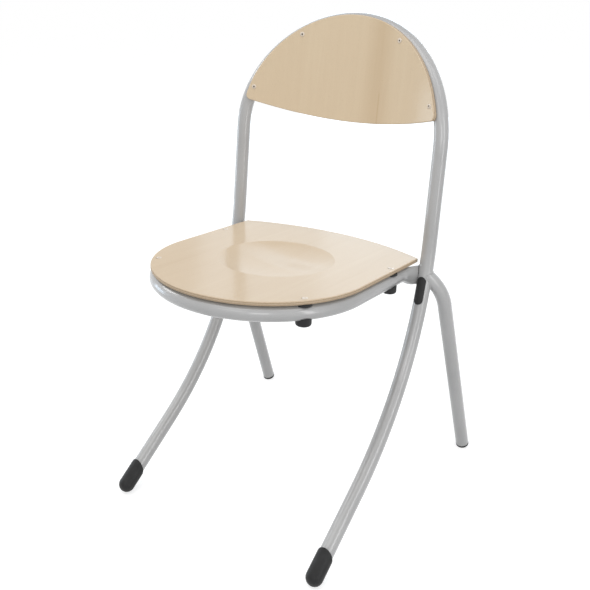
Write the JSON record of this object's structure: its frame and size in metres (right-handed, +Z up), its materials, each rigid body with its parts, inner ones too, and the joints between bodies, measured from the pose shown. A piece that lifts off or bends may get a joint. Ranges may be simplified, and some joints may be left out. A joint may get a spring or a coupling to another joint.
{
  "type": "choir chair",
  "caption": "Stacking chair with a bent steel-tube hoop frame, a round-fronted plywood seat with a shallow dish, and a half-round curved plywood back riveted inside the arch.",
  "frame": {"origin": "on the floor, under the middle of the outline box", "axes": "+Z up, -Y towards the front of the seat, X across the chair; right in a name means +X, the right-hand side seen from in front"},
  "size_m": [0.512, 0.5368, 0.8377],
  "materials": {
    "frame_paint": "satin silver-grey powder coat",
    "varnished_ply": "clear satin varnish over pale beech veneer",
    "black_plastic": "matt black moulded plastic",
    "zinc_rivet": "plain zinc-plated steel"
  },
  "bodies": {
    "root": {"back_ply": "varnished_ply", "back_rivet_lower_left": "zinc_rivet", "back_rivet_lower_right": "zinc_rivet", "back_rivet_upper_left": "zinc_rivet", "back_rivet_upper_right": "zinc_rivet", "edge_pad_left": "black_plastic", "edge_pad_right": "black_plastic", "front_foot_cap_left": "black_plastic", "front_foot_cap_right": "black_plastic", "hoop_tube": "frame_paint", "rear_foot_plug_left": "black_plastic", "rear_foot_plug_right": "black_plastic", "rear_leg_left": "frame_paint", "rear_leg_right": "frame_paint", "ring_bumper_front_left": "black_plastic", "ring_bumper_front_right": "black_plastic", "ring_bumper_rear_left": "black_plastic", "ring_bumper_rear_right": "black_plastic", "seat_ply": "varnished_ply", "seat_ring_tube": "frame_paint", "seat_rivet_front_left": "zinc_rivet", "seat_rivet_front_right": "zinc_rivet", "seat_rivet_rear_left": "zinc_rivet", "seat_rivet_rear_right": "zinc_rivet", "seat_spacer_front_left": "black_plastic", "seat_spacer_front_right": "black_plastic", "seat_spacer_rear_left": "black_plastic", "seat_spacer_rear_right": "black_plastic"}
  },
  "joints": []
}
